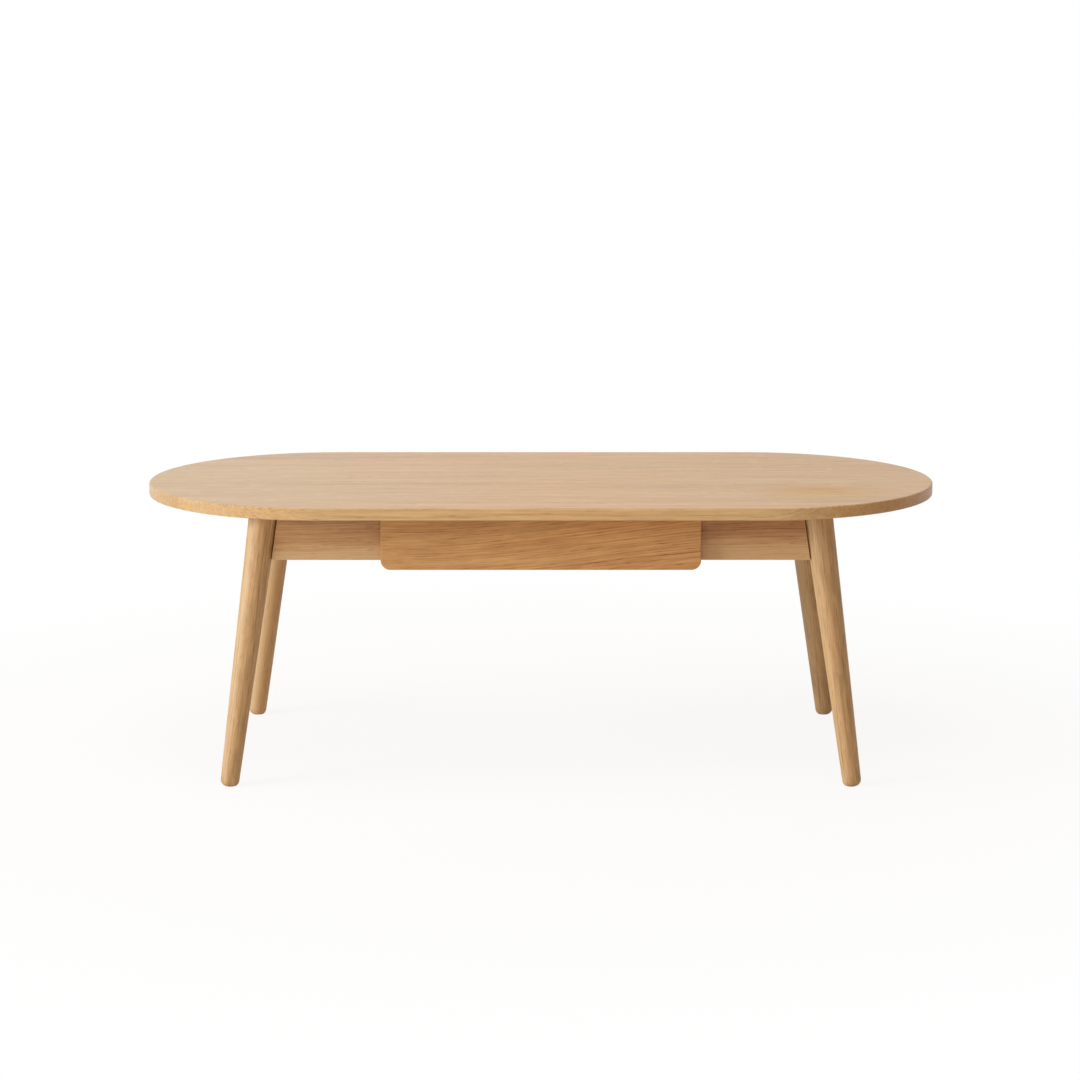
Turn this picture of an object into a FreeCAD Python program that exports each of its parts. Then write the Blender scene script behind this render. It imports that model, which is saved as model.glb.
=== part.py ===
"""Round-ended oak coffee table: splayed turned legs, a dowelled apron and one drawer on ball slides.

Millimetres. +Z is up, the floor is Z = 0 and the origin lies under the middle of the top.
The drawer opens towards -Y, and left and right are as seen from that side.
"""
import FreeCAD
import Part
import Sketcher
import math
import os
import re
from FreeCAD import Vector

SIZES = {
    # Top
    "table_length": 1200,
    "table_depth": 550,
    "table_height": 425,
    "top_thickness": 18,
    "top_upper_round": 2.5,
    "top_lower_round": 1.5,
    # Legs: how far in from the top's ends and sides the axis meets the underside, how far the axis spreads
    # from there to the floor, and the turned taper
    "leg_inset_x": 192,
    "leg_inset_y": 67,
    "leg_spread_x": 55.5,
    "leg_spread_y": 23,
    "leg_top_diameter": 43,
    "leg_foot_diameter": 27.6,
    "leg_foot_round": 10,
    "leg_foot_levelling": 1.2,
    # Rails of the apron
    "rail_height": 68,
    "rail_thickness": 22,
    "rail_edge_round": 1,
    "shoulder_gap": 0.3,
    # Drawer opening in the front rail: how far in from the top's ends, and the strip of wood left below it
    "opening_inset": 380,
    "opening_strip": 14,
    # Bearers that carry the slides
    "bearer_thickness": 20,
    # Dowels: distance from a rail's edge, and the stagger of the two rails that meet in a leg
    "dowel_diameter": 8,
    "dowel_length": 30,
    "dowel_chamfer": 1,
    "dowel_edge": 10,
    "dowel_stagger": 16,
    "hole_end_gap": 1,
    "fit_gap": 0.1,
    # Corner blocks: cuts across the corner, measured along the rails from the inside corner
    "block_near": 24,
    "block_far": 56,
    "block_height": 36,
    # Screws that hold the frame, the top and the drawer front
    "screw_diameter": 4.5,
    "screw_head_diameter": 8.5,
    "screw_head_height": 3,
    "screw_point": 4,
    "screw_cover": 6,
    "screw_seat_margin": 1.5,
    "top_screw_seat": 16,
    "bearer_screw_spread": 120,
    # Ball-bearing slides
    "slide_front_setback": 2,
    "slide_back_setback": 28,
    "slide_space": 12.7,
    "slide_height": 27,
    "slide_gauge": 1,
    "slide_outer_lip": 2,
    "slide_inner_lip": 1.4,
    "slide_screw_diameter": 3,
    "slide_screw_head": 6,
    "slide_screw_length": 10,
    "slide_screw_inset": 30,
    # Balls and their cages
    "ball_diameter": 4,
    "ball_pitch": 20,
    "ball_race_gap": 0.25,
    "ball_pocket_gap": 0.2,
    "cage_gauge": 0.6,
    "cage_gap": 0.5,
    "cage_rim": 0.35,
    "cage_end": 8,
    # Drawer front
    "front_overlap": 15,
    "front_thickness": 18,
    "front_drop": 11.5,
    "front_top_gap": 2.5,
    "front_corner_round": 14,
    "front_edge_round": 1.5,
    # Drawer box
    "drawer_close_gap": 0.5,
    "drawer_back_gap": 40,
    "drawer_wall": 12,
    "drawer_under_gap": 3,
    "drawer_over_gap": 5,
    "tail_width": 15,
    "tail_flare": 2,
    "panel_thickness": 5,
    "panel_lift": 8,
    "panel_gap": 0.2,
    "groove_depth": 5,
}

BALLS_PER_ROW = 4
FRONT_SCREW_SHARES = (-0.75, -0.25, 0.25, 0.75)
TAIL_HEIGHTS = (0.25, 0.75)
SIDES = {"left": -1, "right": 1}
ENDS = {"front": -1, "back": 1}

# Heights
UNDERSIDE = "(table_height - top_thickness)"
RAIL_BOTTOM = f"({UNDERSIDE} - rail_height)"
RAIL_MIDDLE = f"({UNDERSIDE} - rail_height / 2)"
OPENING_BOTTOM = f"({RAIL_BOTTOM} + opening_strip)"
OPENING_HEIGHT = "(rail_height - opening_strip)"

# Legs: where the axis meets the floor, its lean per unit of height, and its length up to the underside
FOOT_X = "(table_length / 2 - leg_inset_x + leg_spread_x)"
FOOT_Y = "(table_depth / 2 - leg_inset_y + leg_spread_y)"
LEAN_X = f"(leg_spread_x / {UNDERSIDE})"
LEAN_Y = f"(leg_spread_y / {UNDERSIDE})"
LEG_AXIS = f"({UNDERSIDE} * sqrt(1 + {LEAN_X}^2 + {LEAN_Y}^2))"


def leg_x(z):
    return f"({FOOT_X} - {LEAN_X} * {z})"


def leg_y(z):
    return f"({FOOT_Y} - {LEAN_Y} * {z})"


def leg_radius(share):
    """Radius of the leg at a share of its axis, 0 at the floor and 1 at the underside of the top."""
    return f"((leg_foot_diameter + (leg_top_diameter - leg_foot_diameter) * {share}) / 2)"


def long_rail_end(z):
    """Half the length of the front and back rails at a height: they stop at the legs' inner tangent."""
    return f"({leg_x(z)} - {leg_radius(f'{z} / {UNDERSIDE}')} * sqrt(1 + {LEAN_X}^2) - shoulder_gap)"


def side_rail_end(z):
    return f"({leg_y(z)} - {leg_radius(f'{z} / {UNDERSIDE}')} * sqrt(1 + {LEAN_Y}^2) - shoulder_gap)"


# Rails: middle planes on the leg axes at mid height, and the inside faces of the frame
RAIL_X = leg_x(RAIL_MIDDLE)
RAIL_Y = leg_y(RAIL_MIDDLE)
INSIDE_X = f"({RAIL_X} - rail_thickness / 2)"
INSIDE_Y = f"({RAIL_Y} - rail_thickness / 2)"
FRAME_FRONT = f"(-{RAIL_Y} - rail_thickness / 2)"
OPENING_HALF = "(table_length / 2 - opening_inset)"
BEARER_X = f"({OPENING_HALF} + bearer_thickness / 2)"

# Drawer box
BOX_FRONT = f"({FRAME_FRONT} - drawer_close_gap)"
BOX_BACK = f"({INSIDE_Y} - drawer_back_gap)"
BOX_DEPTH = f"({BOX_BACK} - {BOX_FRONT})"
BOX_BOTTOM = f"({OPENING_BOTTOM} + drawer_under_gap)"
BOX_HEIGHT = f"({OPENING_HEIGHT} - drawer_under_gap - drawer_over_gap)"
BOX_MIDDLE = f"({BOX_BOTTOM} + {BOX_HEIGHT} / 2)"
BOX_HALF = f"({OPENING_HALF} - slide_space)"
WALL_X = f"({BOX_HALF} - drawer_wall / 2)"
GROOVE_HALF = f"({BOX_HALF} - drawer_wall + groove_depth)"
GROOVE_FRONT = f"({BOX_FRONT} + drawer_wall - groove_depth)"
GROOVE_LENGTH = f"({BOX_DEPTH} - 2 * drawer_wall + 2 * groove_depth)"

# Slides: the race is a right-angled V, so its apex lies this far above or below a ball's centre
SLIDE_FRONT = f"({FRAME_FRONT} + slide_front_setback)"
SLIDE_BACK = f"({BOX_BACK} - slide_back_setback)"
SLIDE_LENGTH = f"({SLIDE_BACK} - {SLIDE_FRONT})"
SLIDE_MIDDLE = f"(({SLIDE_FRONT} + {SLIDE_BACK}) / 2)"
BALL_OUT = "(slide_space / 2)"
RACE_APEX = "((ball_diameter / 2 + ball_race_gap) * sqrt(2))"
SLOPED_GAUGE = "(slide_gauge * sqrt(2))"
BALL_UP = f"(slide_height / 2 - {RACE_APEX} - {SLOPED_GAUGE})"

# A fastener's own axis is Z, with its point at -Z; these turn the point to the heading that is named
HEADINGS = {
    "up": "rotation(vector(1; 0; 0); 180)",
    "down": "rotation(vector(0; 0; 1); 0)",
    "+x": "rotation(vector(0; 1; 0); -90)",
    "-x": "rotation(vector(0; 1; 0); 90)",
    "+y": "rotation(vector(1; 0; 0); 90)",
    "-y": "rotation(vector(1; 0; 0); -90)",
    "turned": "rotation(vector(0; 0; 1); 180)",
}

doc = FreeCAD.newDocument("coffee_table")
sheet = doc.addObject("Spreadsheet::Sheet", "sizes")
nodes = []


def fill_sheet():
    for row, (name, size) in enumerate(SIZES.items(), 1):
        sheet.set(f"A{row}", name)
        sheet.set(f"B{row}", str(size))
        sheet.setAlias(f"B{row}", name)
    doc.recompute()


def sheet_expression(text):
    """The expression with each size's name turned into a reference to its cell."""
    return re.sub(r"[a-z_]+", lambda word: f"sizes.{word[0]}" if word[0] in SIZES else word[0], text)


def bind(item, name, text):
    item.setExpression(name, sheet_expression(text))


def value(text):
    return float(sheet.evalExpression(sheet_expression(text)))


def bind_place(item, x, y, z, turn=HEADINGS["down"]):
    bind(item, "Placement", f"placement(vector({x}; {y}; {z}); {turn})")


def keep(item, label):
    """Name a finished piece of the table."""
    item.Label = label
    nodes.append(item)
    return item


def new_sketch(body, name, plane_role):
    sketch = body.newObject("Sketcher::SketchObject", name)
    plane = next(feature for feature in body.Origin.OriginFeatures if feature.Role == plane_role)
    sketch.AttachmentSupport = [(plane, "")]
    sketch.MapMode = "FlatFace"
    return sketch


def polygon_sketch(body, name, plane_role, points):
    """A closed outline whose corners are each bound to a pair of expressions."""
    sketch = new_sketch(body, name, plane_role)
    corners = [Vector(value(across), value(along)) for across, along in points]
    for index, corner in enumerate(corners):
        sketch.addGeometry(Part.LineSegment(corner, corners[(index + 1) % len(corners)]))
    for index, corner in enumerate(corners):
        sketch.addConstraint(Sketcher.Constraint("Coincident", index, 2, (index + 1) % len(corners), 1))
        for kind, size, text in zip(("DistanceX", "DistanceY"), corner, points[index]):
            number = sketch.addConstraint(Sketcher.Constraint(kind, -1, 1, index, 1, size))
            label = f"{kind}_{index}"
            sketch.renameConstraint(number, label)
            bind(sketch, f"Constraints.{label}", text)
    return sketch


def padded(name, plane_role, points, length):
    """A body padded half to each side of a plane of its own."""
    body = doc.addObject("PartDesign::Body", name)
    pad = body.newObject("PartDesign::Pad", f"{name}_pad")
    pad.Profile = polygon_sketch(body, f"{name}_outline", plane_role, points)
    pad.Midplane = True
    bind(pad, "Length", length)
    doc.recompute()
    return body


def turned(name, profile):
    """A body turned about its own Z axis from a half profile of (radius, height) corners."""
    body = doc.addObject("PartDesign::Body", name)
    sketch = polygon_sketch(body, f"{name}_profile", "XZ_Plane", profile)
    revolution = body.newObject("PartDesign::Revolution", f"{name}_revolution")
    revolution.Profile = sketch
    revolution.ReferenceAxis = (sketch, ["V_Axis"])
    revolution.Angle = 360
    doc.recompute()
    return body


def rounded(body, name, radius, wanted):
    """Fillet the edges of a body's last feature that the test picks."""
    base = body.Tip
    picked = [f"Edge{number}" for number, edge in enumerate(base.Shape.Edges, 1) if wanted(edge.BoundBox)]
    fillet = body.newObject("PartDesign::Fillet", name)
    fillet.Base = (base, picked)
    bind(fillet, "Radius", radius)
    doc.recompute()
    return body


def box(name, length, width, height, x, y, z):
    item = doc.addObject("Part::Box", name)
    bind(item, "Length", length)
    bind(item, "Width", width)
    bind(item, "Height", height)
    bind_place(item, x, y, z)
    return item


def cut(base, *tools):
    """The base with each tool taken out of it in turn."""
    for number, tool in enumerate(tools, 1):
        result = doc.addObject("Part::Cut", f"{base.Name}_cut_{number}")
        result.Base = base
        result.Tool = tool
        base = result
    return base


def placed(pattern, name, spots):
    """Copies of one piece at spots of (x, y, z, heading)."""
    copies = []
    for number, (x, y, z, heading) in enumerate(spots, 1):
        copy = doc.addObject("App::Link", f"{name}_{number}")
        copy.LinkedObject = pattern
        bind_place(copy, x, y, z, HEADINGS[heading])
        copies.append(copy)
    group = doc.addObject("Part::Compound", name)
    group.Links = copies
    return group


def at(limit):
    """A test for a coordinate that lies at a limit."""
    return lambda coordinate: math.isclose(coordinate, limit, abs_tol=1e-4)


def dowel_and_hole():
    radius = "dowel_diameter / 2"
    half = "dowel_length / 2"
    dowel = turned("dowel", [
        ("0", f"-{half}"),
        (f"{radius} - dowel_chamfer", f"-{half}"),
        (radius, f"-{half} + dowel_chamfer"),
        (radius, f"{half} - dowel_chamfer"),
        (f"{radius} - dowel_chamfer", half),
        ("0", half),
    ])
    hole = turned("dowel_hole", [
        ("0", f"-{half} - hole_end_gap"),
        (f"{radius} + fit_gap", f"-{half} - hole_end_gap"),
        (f"{radius} + fit_gap", f"{half} + hole_end_gap"),
        ("0", f"{half} + hole_end_gap"),
    ])
    return dowel, hole


def screw_and_hole(name, length, counterbore):
    """A pan-head screw seated at Z = 0 and the hole that takes it, counterbored above the seat."""
    head = "screw_head_diameter / 2"
    shank = "screw_diameter / 2"
    screw = turned(name, [
        ("0", f"-({length})"),
        (shank, f"screw_point - ({length})"),
        (shank, "0"),
        (head, "0"),
        (head, "screw_head_height / 2"),
        (f"{head} - screw_head_height / 2", "screw_head_height"),
        ("0", "screw_head_height"),
    ])
    hole = turned(f"{name}_hole", [
        ("0", f"-({length}) - fit_gap"),
        (f"{shank} + fit_gap", f"-({length}) - fit_gap"),
        (f"{shank} + fit_gap", "0"),
        (f"{head} + fit_gap", "0"),
        (f"{head} + fit_gap", counterbore),
        ("0", counterbore),
    ])
    return screw, hole


def countersunk_screw_and_hole(name):
    """A flat-head screw that ends flush at Z = 0 and the hole that takes it."""
    head = "slide_screw_head / 2"
    shank = "slide_screw_diameter / 2"
    screw = turned(name, [
        ("0", "-slide_screw_length"),
        (shank, f"{shank} - slide_screw_length"),
        (shank, f"{shank} - {head}"),
        (head, "0"),
        ("0", "0"),
    ])
    hole = turned(f"{name}_hole", [
        ("0", "-slide_screw_length - fit_gap"),
        (f"{shank} + fit_gap", "-slide_screw_length - fit_gap"),
        (f"{shank} + fit_gap", f"{shank} - {head}"),
        (f"{head} + fit_gap", "0"),
        (f"{head} + fit_gap", "slide_gauge"),
        ("0", "slide_gauge"),
    ])
    return screw, hole


def fasteners(name, pair, spots):
    """Keep a set of equal fasteners as one piece and give back the holes for all of them."""
    fastener, hole = pair
    keep(placed(fastener, f"{name}_set", spots), name)
    return placed(hole, f"{name}_holes", spots)


def rail_dowel_spots():
    """Two dowels at each joint of a rail and a leg, centred on the shoulder and staggered in the leg."""
    long_heights = [
        f"({RAIL_BOTTOM} + dowel_edge)",
        f"({UNDERSIDE} - dowel_edge - dowel_stagger)",
    ]
    side_heights = [
        f"({RAIL_BOTTOM} + dowel_edge + dowel_stagger)",
        f"({UNDERSIDE} - dowel_edge)",
    ]
    spots = []
    for side in SIDES.values():
        for end in ENDS.values():
            for z in long_heights:
                spots.append((f"{side} * {long_rail_end(z)}", f"{end} * {RAIL_Y}", z, "+x"))
            for z in side_heights:
                spots.append((f"{side} * {RAIL_X}", f"{end} * {side_rail_end(z)}", z, "+y"))
    return spots


def bearer_dowel_spots():
    heights = [f"({OPENING_BOTTOM} + dowel_edge)", f"({UNDERSIDE} - dowel_edge)"]
    return [
        (f"{side} * {BEARER_X}", f"{end} * {INSIDE_Y}", z, "+y")
        for side in SIDES.values()
        for end in ENDS.values()
        for z in heights
    ]


BLOCK_CENTRE = "((block_near + block_far) / 2)"
BLOCK_SEAT = "((block_far - block_near) / 2 - screw_head_diameter / 2 - screw_seat_margin)"


def block_screw_spots():
    """One screw into each of the two rails that a corner block joins."""
    z = f"({UNDERSIDE} - block_height / 2)"
    spots = []
    for side in SIDES.values():
        for end in ENDS.values():
            along_rail_x = f"{side} * ({INSIDE_X} - {BLOCK_CENTRE})"
            along_rail_y = f"{end} * ({INSIDE_Y} - {BLOCK_CENTRE})"
            seat_x = f"{side} * ({INSIDE_X} - {BLOCK_SEAT})"
            seat_y = f"{end} * ({INSIDE_Y} - {BLOCK_SEAT})"
            spots.append((along_rail_x, seat_y, z, "+y" if end > 0 else "-y"))
            spots.append((seat_x, along_rail_y, z, "+x" if side > 0 else "-x"))
    return spots


def top_screw_spots():
    """Screws up into the top: one through each corner block and two through each bearer."""
    z = f"({UNDERSIDE} - top_screw_seat)"
    spots = []
    for side in SIDES.values():
        for end in ENDS.values():
            block_x = f"{side} * ({INSIDE_X} - {BLOCK_CENTRE} / 2)"
            block_y = f"{end} * ({INSIDE_Y} - {BLOCK_CENTRE} / 2)"
            spots.append((block_x, block_y, z, "up"))
            spots.append((f"{side} * {BEARER_X}", f"{end} * bearer_screw_spread", z, "up"))
    return spots


def slide_screw_spots(outer):
    """Three screws in each slide member: the outer ones point into the bearer, the inner into the drawer."""
    reach = f"{OPENING_HALF} - slide_gauge" if outer else f"{BOX_HALF} + slide_gauge"
    spots = []
    for side in SIDES.values():
        heading = "+x" if (side > 0) == outer else "-x"
        for step in (-1, 0, 1):
            y = f"{SLIDE_MIDDLE} + {step} * ({SLIDE_LENGTH} / 2 - slide_screw_inset)"
            spots.append((f"{side} * ({reach})", y, BOX_MIDDLE, heading))
    return spots


def front_screw_spots():
    return [
        (f"{share} * {BOX_HALF}", f"{BOX_FRONT} + drawer_wall", BOX_MIDDLE, "-y")
        for share in FRONT_SCREW_SHARES
    ]


def build_tabletop(screw_holes):
    """One panel with semicircular ends and eased edges, softer above than below."""
    body = doc.addObject("PartDesign::Body", "tabletop_panel")
    sketch = new_sketch(body, "tabletop_outline", "XY_Plane")
    half_flat = value("(table_length - table_depth) / 2")
    radius = value("table_depth / 2")
    right_end = Part.Circle(Vector(half_flat, 0), Vector(0, 0, 1), radius)
    left_end = Part.Circle(Vector(-half_flat, 0), Vector(0, 0, 1), radius)
    sketch.addGeometry([
        Part.LineSegment(Vector(-half_flat, -radius), Vector(half_flat, -radius)),
        Part.ArcOfCircle(right_end, -math.pi / 2, math.pi / 2),
        Part.LineSegment(Vector(half_flat, radius), Vector(-half_flat, radius)),
        Part.ArcOfCircle(left_end, math.pi / 2, 3 * math.pi / 2),
    ])
    for index in range(4):
        sketch.addConstraint(Sketcher.Constraint("Tangent", index, 2, (index + 1) % 4, 1))
    sketch.addConstraint(Sketcher.Constraint("Horizontal", 0))
    sketch.addConstraint(Sketcher.Constraint("PointOnObject", 1, 3, -1))
    sketch.addConstraint(Sketcher.Constraint("Symmetric", 1, 3, 3, 3, -1, 1))
    straight = sketch.addConstraint(Sketcher.Constraint("DistanceX", 3, 3, 1, 3, 2 * half_flat))
    sketch.renameConstraint(straight, "straight_length")
    bind(sketch, "Constraints.straight_length", "table_length - table_depth")
    end = sketch.addConstraint(Sketcher.Constraint("Radius", 1, radius))
    sketch.renameConstraint(end, "end_radius")
    bind(sketch, "Constraints.end_radius", "table_depth / 2")
    pad = body.newObject("PartDesign::Pad", "tabletop_pad")
    pad.Profile = sketch
    bind(pad, "Length", "top_thickness")
    bind_place(body, "0", "0", UNDERSIDE)
    doc.recompute()
    at_top = at(value("top_thickness"))
    at_bottom = at(0)
    rounded(body, "tabletop_upper_round", "top_upper_round", lambda box_of: at_top(box_of.ZMin))
    rounded(body, "tabletop_lower_round", "top_lower_round", lambda box_of: at_bottom(box_of.ZMax))
    keep(cut(body, screw_holes), "tabletop")


def build_legs(dowel_holes):
    """Turned tapers with a rounded foot, leaning two ways and cut level at the top and the floor."""
    between = box("floor_to_underside", "2 * table_length", "2 * table_depth", UNDERSIDE,
                  "-table_length", "-table_depth", "0")
    foot = "-leg_foot_levelling"
    crown = f"({LEG_AXIS} + leg_top_diameter / 2)"
    at_foot = at(value(foot))
    for end_name, end in ENDS.items():
        for side_name, side in SIDES.items():
            name = f"leg_{end_name}_{side_name}"
            blank = turned(f"{name}_blank", [
                ("0", foot),
                (leg_radius(f"({foot}) / {LEG_AXIS}"), foot),
                (leg_radius(f"{crown} / {LEG_AXIS}"), crown),
                ("0", crown),
            ])
            rounded(blank, f"{name}_foot_round", "leg_foot_round", lambda box_of: at_foot(box_of.ZMax))
            across_the_lean = f"vector({end} * {LEAN_Y}; -{side} * {LEAN_X}; 0)"
            lean = f"rotation({across_the_lean}; acos({UNDERSIDE} / {LEG_AXIS}))"
            bind_place(blank, f"{side} * {FOOT_X}", f"{end} * {FOOT_Y}", "0", lean)
            levelled = doc.addObject("Part::Common", f"{name}_levelled")
            levelled.Base = blank
            levelled.Tool = between
            keep(cut(levelled, dowel_holes), name)


def ease_lower_edges(body, name, run):
    """Round the two long lower edges of a rail that runs along X or Y."""
    at_bottom = at(value(RAIL_BOTTOM))
    thickness = value("rail_thickness")
    rounded(body, f"{name}_lower_round", "rail_edge_round",
            lambda box_of: at_bottom(box_of.ZMax) and getattr(box_of, f"{run}Length") > thickness)


def build_long_rails(dowel_holes, bearer_holes, block_holes):
    """Front and back rails, with ends that follow the lean of the legs; the front one has the opening."""
    foot = long_rail_end(RAIL_BOTTOM)
    crown = long_rail_end(UNDERSIDE)
    opening = [
        (OPENING_HALF, UNDERSIDE),
        (OPENING_HALF, OPENING_BOTTOM),
        (f"-{OPENING_HALF}", OPENING_BOTTOM),
        (f"-{OPENING_HALF}", UNDERSIDE),
    ]
    for end_name, end in ENDS.items():
        name = f"{end_name}_rail"
        outline = [(f"-{foot}", RAIL_BOTTOM), (foot, RAIL_BOTTOM), (crown, UNDERSIDE)]
        outline += opening if end_name == "front" else []
        outline += [(f"-{crown}", UNDERSIDE)]
        board = padded(f"{name}_board", "XZ_Plane", outline, "rail_thickness")
        ease_lower_edges(board, name, "X")
        bind_place(board, "0", f"{end} * {RAIL_Y}", "0")
        keep(cut(board, dowel_holes, bearer_holes, block_holes), name)


def build_side_rails(dowel_holes, block_holes):
    foot = side_rail_end(RAIL_BOTTOM)
    crown = side_rail_end(UNDERSIDE)
    outline = [(f"-{foot}", RAIL_BOTTOM), (foot, RAIL_BOTTOM), (crown, UNDERSIDE), (f"-{crown}", UNDERSIDE)]
    for side_name, side in SIDES.items():
        name = f"side_rail_{side_name}"
        board = padded(f"{name}_board", "YZ_Plane", outline, "rail_thickness")
        ease_lower_edges(board, name, "Y")
        bind_place(board, f"{side} * {RAIL_X}", "0", "0")
        keep(cut(board, dowel_holes, block_holes), name)


def build_corner_blocks(block_holes, screw_holes):
    """Diagonal blocks inside the corners of the frame, clear of the legs."""
    for end_name, end in ENDS.items():
        for side_name, side in SIDES.items():
            name = f"corner_block_{end_name}_{side_name}"
            outline = [
                (f"{side} * ({INSIDE_X} - block_near)", f"{end} * {INSIDE_Y}"),
                (f"{side} * ({INSIDE_X} - block_far)", f"{end} * {INSIDE_Y}"),
                (f"{side} * {INSIDE_X}", f"{end} * ({INSIDE_Y} - block_far)"),
                (f"{side} * {INSIDE_X}", f"{end} * ({INSIDE_Y} - block_near)"),
            ]
            block = padded(f"{name}_bar", "XY_Plane", outline, "block_height")
            bind_place(block, "0", "0", f"{UNDERSIDE} - block_height / 2")
            keep(cut(block, block_holes, screw_holes), name)


def build_bearers(dowel_holes, screw_holes, slide_holes):
    for side_name, side in SIDES.items():
        name = f"drawer_bearer_{side_name}"
        bar = box(f"{name}_bar", "bearer_thickness", f"2 * {INSIDE_Y}", OPENING_HEIGHT,
                  f"{side} * {BEARER_X} - bearer_thickness / 2", f"-{INSIDE_Y}", OPENING_BOTTOM)
        keep(cut(bar, dowel_holes, screw_holes, slide_holes), name)


def mirrored(half_profile, side):
    """A whole slide profile from its upper half, given as (distance from the bearer, height) corners."""
    lower = [(out, f"-({up})") for out, up in reversed(half_profile)]
    return [(f"{side} * ({OPENING_HALF} - ({out}))", up) for out, up in half_profile + lower]


def build_slides(outer_holes, inner_holes):
    """Channels with 45 degree flanges that hold the balls between an outer and an inner V."""
    outer_half = [
        ("slide_gauge", f"{BALL_UP} + {RACE_APEX} - {BALL_OUT} + slide_gauge"),
        (BALL_OUT, f"{BALL_UP} + {RACE_APEX}"),
        (f"{BALL_OUT} + slide_outer_lip", f"{BALL_UP} + {RACE_APEX} - slide_outer_lip"),
        (f"{BALL_OUT} + slide_outer_lip", "slide_height / 2 - slide_outer_lip"),
        (BALL_OUT, "slide_height / 2"),
        ("0", f"slide_height / 2 - {BALL_OUT}"),
    ]
    valley = f"{BALL_UP} - {RACE_APEX}"
    inner_half = [
        ("slide_space - slide_gauge", f"{valley} - {SLOPED_GAUGE} + {BALL_OUT} - slide_gauge"),
        (BALL_OUT, f"{valley} - {SLOPED_GAUGE}"),
        (f"{BALL_OUT} - slide_inner_lip", f"{valley} - {SLOPED_GAUGE} + slide_inner_lip"),
        (f"{BALL_OUT} - slide_inner_lip", f"{valley} + slide_inner_lip"),
        (BALL_OUT, valley),
        ("slide_space", f"{valley} + {BALL_OUT}"),
    ]
    for side_name, side in SIDES.items():
        for member, half_profile, holes in (
            ("outer", outer_half, outer_holes),
            ("inner", inner_half, inner_holes),
        ):
            name = f"slide_{member}_{side_name}"
            channel = padded(f"{name}_channel", "XZ_Plane", mirrored(half_profile, side), SLIDE_LENGTH)
            bind_place(channel, "0", SLIDE_MIDDLE, BOX_MIDDLE)
            keep(cut(channel, holes), name)


def build_ball_cages():
    """Thin cages that hold two rows of balls in each slide."""
    slope_top = f"({RACE_APEX} - {BALL_OUT} - cage_gap * sqrt(2))"
    slope_bottom = f"({slope_top} - cage_gauge * sqrt(2))"
    web = "(slide_gauge + cage_gap)"
    pocket_radius = "(ball_diameter / 2 + ball_pocket_gap)"
    reach = f"{BALL_OUT} + {pocket_radius} + cage_rim"
    half_profile = [
        (f"{web} + cage_gauge", f"{BALL_UP} + {slope_bottom} + {web} + cage_gauge"),
        (f"-{slope_bottom} - cage_gauge / 2", f"{BALL_UP} - cage_gauge / 2"),
        (reach, f"{BALL_UP} - cage_gauge / 2"),
        (reach, f"{BALL_UP} + cage_gauge / 2"),
        (f"-{slope_top} + cage_gauge / 2", f"{BALL_UP} + cage_gauge / 2"),
        (web, f"{BALL_UP} + {slope_top} + {web}"),
    ]
    ball = doc.addObject("Part::Sphere", "ball")
    bind(ball, "Radius", "ball_diameter / 2")
    pocket = turned("ball_pocket", [
        ("0", "-cage_gauge"),
        (pocket_radius, "-cage_gauge"),
        (pocket_radius, "cage_gauge"),
        ("0", "cage_gauge"),
    ])
    cage_length = f"{BALLS_PER_ROW - 1} * ball_pitch + ball_diameter + 2 * cage_end"
    steps = [number - (BALLS_PER_ROW - 1) / 2 for number in range(BALLS_PER_ROW)]
    for side_name, side in SIDES.items():
        x = f"{side} * ({OPENING_HALF} - {BALL_OUT})"
        spots = [
            (x, f"{SLIDE_MIDDLE} + {step} * ball_pitch", f"{BOX_MIDDLE} + {row} * {BALL_UP}", "down")
            for row in (-1, 1)
            for step in steps
        ]
        name = f"ball_cage_{side_name}"
        strip = padded(f"{name}_strip", "XZ_Plane", mirrored(half_profile, side), cage_length)
        bind_place(strip, "0", SLIDE_MIDDLE, BOX_MIDDLE)
        keep(cut(strip, placed(pocket, f"{name}_pockets", spots)), name)
        keep(placed(ball, f"balls_{side_name}", spots), f"slide_balls_{side_name}")


def build_drawer_front(screw_holes):
    """The overlay front: rounded lower corners, eased edges, and a lip below the rail to pull it by."""
    right = f"({OPENING_HALF} + front_overlap)"
    left = f"-{right}"
    bottom = f"{RAIL_BOTTOM} - front_drop"
    top = f"{UNDERSIDE} - front_top_gap"
    body = padded("drawer_front_board", "XZ_Plane",
                  [(left, bottom), (right, bottom), (right, top), (left, top)], "front_thickness")
    at_bottom = at(value(bottom))
    at_face = at(-value("front_thickness / 2"))
    rounded(body, "drawer_front_corners", "front_corner_round",
            lambda box_of: at_bottom(box_of.ZMax) and box_of.XLength < box_of.YLength)
    rounded(body, "drawer_front_edges", "front_edge_round", lambda box_of: at_face(box_of.YMax))
    bind_place(body, "0", f"{BOX_FRONT} - front_thickness / 2", "0")
    keep(cut(body, screw_holes), "drawer_front")


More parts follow.
